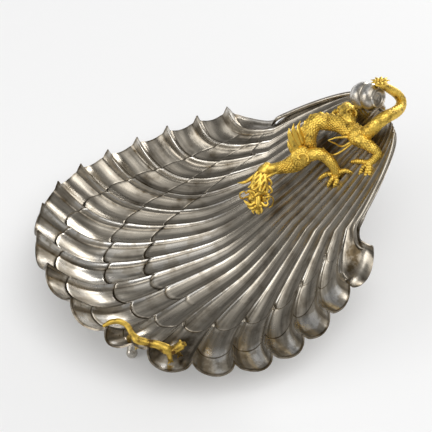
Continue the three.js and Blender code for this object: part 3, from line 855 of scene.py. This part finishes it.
def maneStops(number):
    along, apart = mane["waveTurn"]
    stops = []
    for i in range(mane["stops"]):
        share = i / (mane["stops"] - 1)
        aside = mane["spread"] * mix(-1, 1, number / (mane["count"] - 1)) * mix(0.5, 1, share)
        aside += mane["wave"] * sin(along * share + apart * number)
        rise = mane["lift"] * sqrt(limit(1 - (aside / mane["crown"]) ** 2))
        spot = nape.lerp(brow, share) + headSide * aside + headUp * rise
        stops.append([*spot, mane["thick"] * mix(1, 0.5, abs(2 * share - 1))])
    return stops


skull = thousandths([
    [500, 135, 205, 30], [465, 125, 180, 40], [430, 100, 125, 55], [395, 70, 75, 46],
    [365, 40, 35, 34], [350, 26, 14, 24],
])
jaw = thousandths([[430, 70, 75, 26], [404, 26, 22, 20], [388, 0, -10, 12], [378, -12, -28, 5]])
horn = thousandths([  # x and its shift, y and its shift, z, radius
    [445, 0, 100, 22, 160, 14], [468, -10, 92, 38, 205, 10], [498, -15, 86, 50, 234, 4],
])
headVoxel = 0.00028  # metres


def buildHead():
    parts = [barPiece(skull, 32, 40), barPiece(jaw, 20, 24)]
    for stops in headStrands.values():
        parts.append(barPiece(stops, 12, 26, flatten=0.7, facing=tuple(headUp)))
    for number in range(mane["count"]):
        parts.append(barPiece(maneStops(number), 12, 40))
    for centre, radius in headBalls.values():
        parts.append(ballPiece(centre, headUp, radius, radius, 20, 14))
    for side in (-1, 1):
        stops = [[x + dx * side, y + dy * side, z, radius] for x, dx, y, dy, z, radius in horn]
        parts.append(barPiece(stops, 12, 24))
    piece = joinPieces(parts)
    useModifier(piece, "REMESH", mode="VOXEL", voxel_size=headVoxel)
    useModifier(piece, "SMOOTH", factor=0.5, iterations=1)
    markHollows(piece, 0.00025, 3)
    finishPiece(piece, "gilt", "dragon_head")


whiskerRadius = 0.0058
whiskers = thousandths({
    "dragon_whisker_left": [
        [352, 60, 45], [330, 75, 60], [305, 70, 62], [283, 68, 82],
        [284, 68, 118], [310, 68, 122], [322, 68, 98],
    ],
    "dragon_whisker_right": [
        [402, 40, 70], [422, 4, 83], [455, -5, 85], [478, 0, 45], [474, 4, -5], [455, 2, -18],
    ],
})


def buildWhiskers():
    for node, places in whiskers.items():
        stops = [[*place, whiskerRadius * (1.1 - 0.5 * i / len(places))] for i, place in enumerate(places)]
        piece = barPiece(stops, 12, 70)
        markHollows(piece, 0.0001, 1)
        finishPiece(piece, "gilt", node)


buildHead()
buildWhiskers()
print("dragon head built")

# dragon legs: scaled limb, knuckled toes, claws and the stud under the paw
legs = thousandths({
    "foreleg_right": {
        "paw": [836, -130, 248],
        "bone": [
            [672, 20, 325, 40], [710, -20, 352, 39], [755, -35, 358, 36],
            [807, -85, 322, 32], [833, -125, 268, 28], [838, -135, 240, 25],
        ],
        "toes": [
            [[878, -165, 278], [912, -190, 276]], [[800, -148, 218], [767, -150, 170]],
            [[820, -175, 222], [790, -185, 186]], [[792, -90, 216], [749, -55, 160]],
        ],
        "haunch": [[660, 4, 335], [-250, -850, 350], 66, 42],
        "curl": [[640, -30, 362], 48, 9, 700],
    },
    "foreleg_left": {
        "paw": [800, 245, 212],
        "bone": [
            [700, 110, 345, 40], [720, 165, 350, 36], [750, 205, 330, 30],
            [785, 235, 285, 26], [798, 245, 235, 24], [800, 245, 210, 24],
        ],
        "toes": [
            [[845, 255, 240], [880, 270, 250]], [[765, 262, 190], [730, 275, 140]],
            [[780, 285, 196], [760, 315, 163]], [[775, 215, 198], [745, 190, 150]],
        ],
    },
    "hindleg_right": {
        "paw": [1000, -238, 362],
        "bone": [
            [985, -75, 462, 50], [985, -130, 466, 46], [1020, -185, 448, 34],
            [1052, -232, 415, 24], [1030, -240, 385, 22], [995, -238, 358, 22],
        ],
        "toes": [
            [[960, -175, 335], [924, -122, 297]], [[975, -265, 338], [945, -285, 300]],
            [[985, -275, 345], [965, -305, 318]], [[962, -235, 330], [925, -245, 290]],
        ],
        "strands": [
            [[950, -75, 455], [896, -62, 463], [848, -60, 473], [802, -60, 471]],
            [[955, -80, 420], [903, -62, 385], [851, -60, 427], [804, -60, 468]],
            [[965, -85, 420], [905, -64, 350], [844, -60, 335], [800, -60, 376], [770, -60, 421]],
        ],
        "haunch": [[982, -100, 468], [-350, -750, 550], 56, 48],
    },
    "hindleg_left": {
        "paw": [1050, 215, 398],
        "bone": [
            [990, 20, 474, 43], [1000, 70, 482, 46], [1025, 130, 478, 44],
            [1050, 170, 462, 34], [1055, 200, 425, 26], [1050, 215, 394, 24],
        ],
        "toes": [
            [[1082, 187, 430], [1106, 158, 445]], [[1025, 245, 378], [1000, 265, 345]],
            [[1055, 248, 395], [1050, 275, 375]], [[1015, 205, 372], [985, 200, 328]],
        ],
        "strands": [
            [[1055, 70, 545], [1092, 60, 530], [1125, 60, 478], [1150, 64, 430]],
            [[1050, 80, 535], [1078, 72, 522], [1104, 72, 476], [1124, 74, 440]],
        ],
        "haunch": [[1022, 92, 486], [910, -410, 0], 52, 56],
        "curl": [[1012, 58, 524], 40, 12, 950],
    },
})
legSizes = {
    "scales": (12, 0.015, 0.0062),  # count around, pitch and height
    "toeRadii": (0.018, 0.015, 0.0145, 0.012, 0.003),
    "knuckleLift": 0.006,
    "clawDrop": 0.004,
    "knucklePitch": 0.016,
    "knuckleHeight": 0.14,  # in radii, on the toe but not on its claw
    "clawRadius": 0.008,
    "strandRadii": (0.0085, 0.003),
    "haunchScales": (16, 0.0155, 0.0075),
    "haunchTurns": 2,
    "curl": (12, -0.6, 0.25, 0.8),  # spans, first angle, inner share and squash
    "haunchFade": (0.1, 0.35),
    "studRadius": 0.01154,
    "studTop": 0.0154,
    "studLength": 0.0692,
}
neckNormal = Vector((-0.615, 0, 0.7885))
viewRight, viewUp = Vector((0.913, -0.408, 0)), Vector((0.292, 0.653, 0.698))  # in the photograph


def toeRelief(around, run, radius):
    if radius <= legSizes["clawRadius"]:
        return 0
    return legSizes["knuckleHeight"] * radius * cos(run / legSizes["knucklePitch"] * 2 * pi)


def haunchRelief(around, polar, radius):  # rows of scales that wind round the haunch
    count, pitch, height = legSizes["haunchScales"]
    turn = around / (2 * pi)
    scale = scaleHeight(turn * count, polar * radius / pitch + turn * legSizes["haunchTurns"])
    return height * (scale - 0.5) * ease(*legSizes["haunchFade"], polar)


def curlStops(centre, wide, thick, turns):  # spiral that opens outward
    spans, start, inner, squash = legSizes["curl"]
    stops = []
    for i in range(spans + 1):
        share = i / spans
        a = 2 * pi * turns * (1 - share) + start
        reach = wide * mix(inner, 1, share)
        spot = Vector(centre) + viewRight * reach * cos(a) + viewUp * reach * squash * sin(a)
        stops.append([*spot, thick * mix(1, 0.5, share)])
    return stops


def buildLegs():
    for name, leg in legs.items():
        paw = Vector(leg["paw"])
        parts = [barPiece(leg["bone"], 84, 150, scaledRelief(*legSizes["scales"]))]
        for joint, tip in leg["toes"]:
            tip = Vector(tip)
            knuckle = Vector(joint) + neckNormal * legSizes["knuckleLift"]
            claw = tip - neckNormal * legSizes["clawDrop"]
            spots = (paw, paw.lerp(knuckle, 0.6), knuckle, knuckle.lerp(tip, 0.55), claw)
            parts.append(barPiece(withRadii(spots, legSizes["toeRadii"]), 18, 44, toeRelief))
        for strand in leg.get("strands", []):
            last = len(strand) - 1
            stops = [[*spot, mix(*legSizes["strandRadii"], i / last)] for i, spot in enumerate(strand)]
            parts.append(barPiece(stops, 10, 40))
        if "haunch" in leg:
            centre, axis, radius, thick = leg["haunch"]
            parts.append(ballPiece(centre, axis, radius, thick, 112, 90, haunchRelief))
        if "curl" in leg:
            parts.append(barPiece(curlStops(*leg["curl"]), 12, 60))
        ends = (paw + neckNormal * legSizes["studTop"], paw, paw - neckNormal * legSizes["studLength"])
        parts.append(barPiece([[*end, legSizes["studRadius"]] for end in ends], 20, 16))
        piece = joinPieces(parts)
        markHollows(piece, 0.00022, 2)
        finishPiece(piece, "gilt", "dragon_" + name)


buildLegs()
print("dragon legs built")

# lizard lying over two rib ends of the near rim
lizardBody = thousandths([
    [-860, -535, 55, 10], [-815, -533, 62, 15], [-771, -545, 60, 16], [-738, -585, 50, 16],
    [-730, -640, 35, 17], [-718, -685, 25, 23], [-666, -724, 12, 22], [-617, -752, 0, 24],
    [-582, -787, -15, 31], [-560, -806, -25, 22], [-527, -803, -20, 24], [-496, -802, -10, 27],
    [-474, -803, -5, 15],
])
lizardLimbs = thousandths([
    [[-722, -675, 25], [-715, -662, -50], [-684, -595, -150]],
    [[-728, -645, 30], [-738, -606, -40], [-716, -560, -145]],
    [[-572, -795, -25], [-566, -806, -90], [-552, -772, -150]],
    [[-550, -785, -30], [-508, -768, -100], [-472, -722, -190]],
])
lizard = {
    "scales": (14, 0.01, 0.0022),  # count around, pitch and height
    "limbRadii": (0.019, 0.015, 0.011),
    "toeRadii": (0.007, 0.006, 0.003),
    "toe": (0.016, -0.006, -0.014),  # apart, out and down
    "eye": (-0.492, -0.802, 0.008),
    "eyeApart": 0.02,
    "eyeRadius": 0.007,
    "tarnish": 0.58,
}


def buildLizard():
    parts = [barPiece(lizardBody, 60, 220, scaledRelief(*lizard["scales"]))]
    apart, out, down = lizard["toe"]
    for limb in lizardLimbs:
        parts.append(barPiece(withRadii(limb, lizard["limbRadii"]), 16, 26))
        foot = Vector(limb[-1])
        for spread in (-1, 0, 1):
            toe = foot + Vector((apart * spread, out, down))
            spots = (foot, foot.lerp(toe, 0.5), toe)
            parts.append(barPiece(withRadii(spots, lizard["toeRadii"]), 10, 14))
    x, y, z = lizard["eye"]
    radius = lizard["eyeRadius"]
    for side in (-1, 1):
        spot = [x, y + lizard["eyeApart"] * side, z]
        parts.append(ballPiece(spot, (0, side, 1), radius, radius, 12, 8))
    piece = joinPieces(parts)
    markHollows(piece, 0.0002, 2, lizard["tarnish"])
    finishPiece(piece, "gilt", "rim_lizard")


buildLizard()
print("lizard built")

# umbo: ribbed barrel that curls over the neck, with a sunk spiral volute on each side
umbo = {
    "place": (1.095, 0.013, 0.661),
    "axis": (0.38, -0.84, 0.38),
    "radius": 0.088,
    "halfWidth": 0.085,
    "eye": 0.063,
    "sink": 0.016,
    "ribs": 2,
    "ribDepth": 0.013,
    "barrel": (2.4, 0.6),  # powers of its swelling
    "volute": 0.22,  # share of the rows on each side
    "turns": 1.6,
    "spiralHeight": 0.005,
    "ring": (0.88, 0.09, 0.01),  # place, half width and height
    "voluteTone": 0.25,
    "grooveTone": 0.3,
    "rootFlatten": 0.42,
    "rootFacing": (0.766, 0, 0.643),
}
umboRoot = thousandths([[1115, 5, 640, 50], [1146, 0, 605, 58], [1176, 0, 572, 62]])
umboAxis = Vector(umbo["axis"]).normalized()
umboFront = (Vector((-1, 0, 0)) + umboAxis * umboAxis.x).normalized()  # towards the bowl
umboTop = umboFront.cross(umboAxis) if umboFront.cross(umboAxis).z > 0 else umboAxis.cross(umboFront)


def umboPoint(u, v):
    a = 2 * pi * u  # 0 at the front, rising to the top
    half, eye, radius = umbo["halfWidth"], umbo["eye"], umbo["radius"]
    volute = umbo["volute"]
    if v < volute or v > 1 - volute:
        side = 1 if v < 0.5 else -1
        share = min(v, 1 - v) / volute
        out = eye * share
        spiral = 0.5 + 0.5 * cos(2 * pi * (umbo["turns"] * share - side * u))
        place, wide, height = umbo["ring"]
        inside = ease(0.1, 0.4, share) * ease(0.95, 0.7, share)
        lift = umbo["spiralHeight"] * spiral * inside + height * bell(share - place, wide)
        along = side * (half - umbo["sink"] * (1 - share**3) + lift)
        shade = umbo["voluteTone"] * ease(0.95, 0.7, share)
    else:
        across = mix(-1, 1, (v - volute) / (1 - 2 * volute))
        outer, whole = umbo["barrel"]
        swell = (1 - abs(across) ** outer) ** whole
        ridge = abs(sin(umbo["ribs"] * (across + 1) / 2 * pi)) ** 0.6
        furrow = (1 - ridge) * ease(0, 0.5, swell)
        out = eye + (radius - eye) * swell - umbo["ribDepth"] * furrow
        shade = umbo["grooveTone"] * furrow
        along = -half * across
    spoke = umboFront * cos(a) + umboTop * sin(a)
    return Vector(umbo["place"]) + umboAxis * along + spoke * out, shade


def buildUmbo():
    knob = startGrid(160, 150)
    marks = []
    for vertex in knob.data.vertices:
        place, mark = umboPoint((vertex.co.x + 0.5) % 1, vertex.co.y + 0.5)
        vertex.co = inFrame(*place)
        marks.append(mark)
    setTarnishAndShade(knob, marks)
    sealMesh(knob)
    root = barPiece(umboRoot, 40, 24, flatten=umbo["rootFlatten"], facing=umbo["rootFacing"])
    piece = joinPieces([knob, root])
    finishPiece(piece, "silver", "umbo_beak", angle=40)


buildUmbo()
print("umbo built")

# borders: half-round edging along both sides of the neck, out to the wing corners
border = {
    "lift": 1.14,  # in radii above the sheet
    "taper": 0.5,
    "leftRows": 7,
    "tarnish": 0.25,
    "rows": [  # tier, share of the tier, distance in from the edge in ribs, radius
        (-1, 0.06, 0.66, 0.0125), (-1, 0.28, 0.55, 0.0125), (-1, 0.5, 0.42, 0.0125),
        (-1, 0.72, 0.3, 0.0125), (-1, 0.9, 0.2, 0.0125), (-1, 1, 0.17, 0.012),
        (2, 0.3, 0.13, 0.0105), (3, 0.2, 0.1, 0.0085), (3, 0.6, 0.07, 0.009),
    ],
}


def buildBorders():
    for side, word in ((1, "left"), (-1, "right")):
        stops = []
        for tier, t, inset, radius in border["rows"][:border["leftRows"] if side > 0 else None]:
            spot = shellPoint(side * (edgeRib - inset), tier, t)[0]
            stops.append([*(spot + neckNormal * radius * border["lift"]), radius])
        stops[-1][3] *= border["taper"]
        piece = barPiece(stops, 20, 90)
        markHollows(piece, 0.0001, 1, border["tarnish"])
        finishPiece(piece, "silver", "neck_border_" + word)


# feet: cabriole legs with a flat pad
feet = {
    "places": {"front": (-0.626, 0.405, -0.26), "rear": (0.46, 0.4, -0.12)},  # x, y and top
    "table": -0.4,
    "out": 0.04,  # from the top of the leg to the pad
    "pad": 0.034,
    "stops": [  # shares of out in x and y, height, share of the leg it is above, width in pads
        (1, 1, 0.010, 0, 1), (1, 1, 0.018, 0, 1), (0.9, 0.8, 0.034, 0, 0.88),
        (0.4, 0.3, 0, 0.55, 0.82), (0, 0, 0, 0.70, 1.3), (0, 0, -0.030, 1, 1.5),
    ],
    "flutes": 8,
    "fluteDepth": 0.05,
    "fluteFade": (0.03, 0.06),
    "tarnish": 0.15,
}


def footRelief(around, run, radius):
    wave = feet["fluteDepth"] * radius * cos(feet["flutes"] * around)
    return wave * ease(*feet["fluteFade"], run)


def buildFeet():
    table, out, pad = feet["table"], feet["out"], feet["pad"]
    for place, (x, y, top) in feet["places"].items():
        for side, word in ((1, "left"), (-1, "right")):
            stops = []
            for dx, dy, up, share, wide in feet["stops"]:
                spot = (x - out * dx, side * (y + out * dy), mix(table, top, share) + up)
                stops.append([*spot, pad * wide])
            piece = barPiece(stops, 32, 48, footRelief)
            for vertex in piece.data.vertices:
                vertex.co.z = max(0, vertex.co.z)
            markHollows(piece, 0.0001, 2, feet["tarnish"])
            finishPiece(piece, "silver", "foot_" + place + "_" + word)


buildBorders()
buildFeet()
print("borders and feet built")

# nuts keep their CAD shape
for name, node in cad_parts.items():
    if name.startswith("nut"):
        node.data.materials.clear()
        node.data.materials.append(metals["silver"])

# floor, light and camera
floorValues = {
    "Base Color": (0.745, 0.745, 0.745, 1),
    "Roughness": 0.7,
    "Specular IOR Level": 0.1,
    "Emission Color": (1, 1, 1, 1),
    "Emission Strength": 0.13,  # glowing floor, painted light that lifts the shadows on it
}
skyLevels = [(0, 0.42), (0.22, 0.42), (0.45, 0.22), (0.7, 0.22), (1, 1)]  # height, brightness
cameraValues = {
    "back": (-0.2852, -0.6375, 0.7157),  # from the dish towards the camera
    "distance": 9.353,  # in rim radii
    "lens": 127.08,
    "sensor": 36,
    "shift": (0.0303, 0.0259),
}
floorLook = bpy.data.materials.new("floor")
floorLook.use_nodes = True
for label, value in floorValues.items():
    floorLook.node_tree.nodes["Principled BSDF"].inputs[label].default_value = value
bpy.ops.mesh.primitive_plane_add(size=12)
floor = bpy.context.object
floor.name = "floor"
floor.data.materials.append(floorLook)

world = bpy.data.worlds.new("studio")
bpy.context.scene.world = world
world.use_nodes = True
sky = world.node_tree
direction = addNode(sky, "TexCoord", {})["Generated"]
height = addNode(sky, "SeparateXYZ", {"Vector": direction})["Z"]
colour = addNode(sky, "ValToRGB", {"Fac": height})["Color"]
levels = sky.nodes[-1].color_ramp.elements
for place, level in skyLevels:
    stop = levels.new(place) if 0 < place < 1 else levels[-place]
    stop.color = (level, level, level, 1)
sky.links.new(colour, sky.nodes["Background"].inputs["Color"])


def addLight(name, towards, distance, width, height, power, onFloor=1):
    bpy.ops.object.light_add(type="AREA")
    lamp = bpy.context.object
    lamp.name = name
    lamp.data.shape = "RECTANGLE"
    lamp.data.size = width
    lamp.data.size_y = height
    lamp.data.energy = power
    lamp.data.diffuse_factor = onFloor
    lamp.location = Vector(towards).normalized() * distance + Vector((0, 0, 0.05))
    lamp.rotation_euler = Vector(towards).to_track_quat("Z", "Y").to_euler()


addLight("overhead", (0.02, -0.45, 0.89), distance=2.2, width=1.9, height=1.9, power=26)
addLight("left", (-0.93, 0.1, 0.36), distance=1.8, width=1.1, height=0.9, power=12)
addLight("backRight", (0.8, 0.55, 0.25), distance=1.8, width=1, height=0.6, power=15.5, onFloor=0.15)

back = Vector(cameraValues["back"])
bpy.ops.object.camera_add()
camera = bpy.context.object
camera.name = "camera"
camera.location = middle + back * cameraValues["distance"] * rimRadius
camera.rotation_euler = back.to_track_quat("Z", "Y").to_euler()
camera.data.lens = cameraValues["lens"]
camera.data.sensor_width = cameraValues["sensor"]
camera.data.shift_x, camera.data.shift_y = cameraValues["shift"]
bpy.context.scene.camera = camera
bpy.context.scene.view_settings.view_transform = "Standard"
print("stage set")
